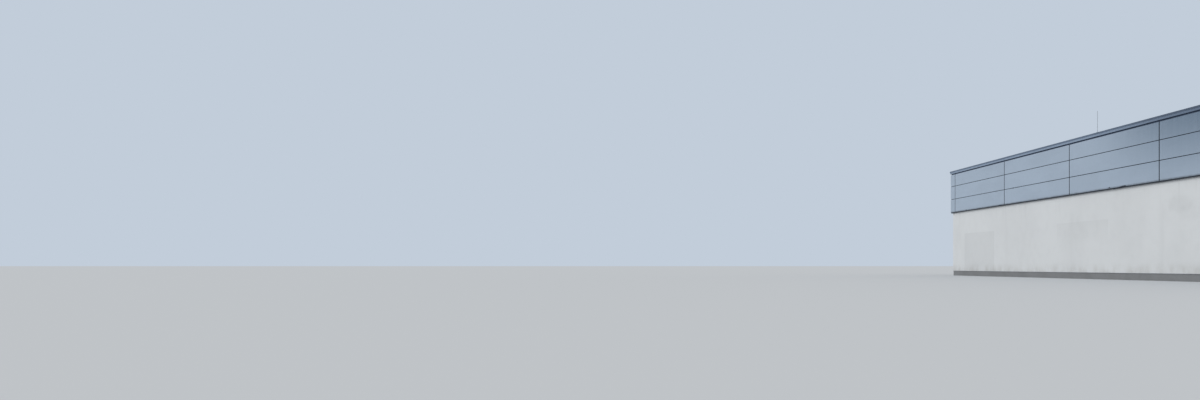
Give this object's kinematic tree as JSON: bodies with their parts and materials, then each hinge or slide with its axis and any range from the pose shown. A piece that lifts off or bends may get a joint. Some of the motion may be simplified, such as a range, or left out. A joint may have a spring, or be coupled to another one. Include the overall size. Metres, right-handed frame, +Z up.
{
  "type": "supermarket building",
  "caption": "Single-storey supermarket hall with rendered walls, a grey panel band with folded coping, a flat roof behind a parapet and a glazed entrance.",
  "frame": {"origin": "middle of the plan, on the ground", "axes": "+X along the building towards the entrance end, -Y out of the long front wall, +Z up"},
  "size_m": [37.28, 25.28, 7.46],
  "materials": {
    "render": "smooth painted render",
    "plinth": "coarse grey plinth render",
    "panel": "coated steel wall panel, satin",
    "coping": "coated folded sheet, satin",
    "dark_trim": "dark coated trim, satin",
    "concrete": "fair-faced concrete",
    "steel": "grey shop-coated steel",
    "deck": "galvanised ribbed sheet",
    "membrane": "light grey roofing membrane",
    "outlet": "dark moulded plastic",
    "frame": "dark coated aluminium",
    "glass": "clear double glazing",
    "steel_door": "coated steel door",
    "rod": "drawn aluminium rod"
  },
  "bodies": {
    "root": {"floor_slab": "concrete", "plinth_front": "plinth", "plinth_entrance_end": "plinth", "plinth_rear": "plinth", "plinth_far_end": "plinth", "front_wall": "render", "entrance_end_wall": "render", "entrance_end_wall_upper": "render", "rear_wall": "render", "rear_wall_upper": "render", "far_end_wall": "render", "far_end_wall_upper": "render", "front_columns": "concrete", "rear_columns": "concrete", "roof_beams": "steel", "roof_deck": "deck", "roof_covering": "membrane", "roof_upstand": "membrane", "roof_outlets": "outlet", "parapet_front": "render", "parapet_entrance_end": "render", "parapet_rear": "render", "parapet_far_end": "render", "band_front": "panel", "band_entrance_end": "panel", "band_rear": "panel", "band_far_end": "panel", "band_corners": "panel", "band_joint_strips": "dark_trim", "band_drip": "dark_trim", "band_head_trim": "dark_trim", "coping_front": "coping", "coping_entrance_end": "coping", "coping_rear": "coping", "coping_far_end": "coping", "entrance_frame": "frame", "entrance_glass": "glass", "entrance_door_gear": "steel", "entrance_doors": "frame", "entrance_door_glass": "glass", "delivery_door_frame": "frame", "delivery_door": "steel_door", "exit_door_frame": "frame", "exit_door": "steel_door", "lightning_rods": "rod"}
  },
  "joints": []
}
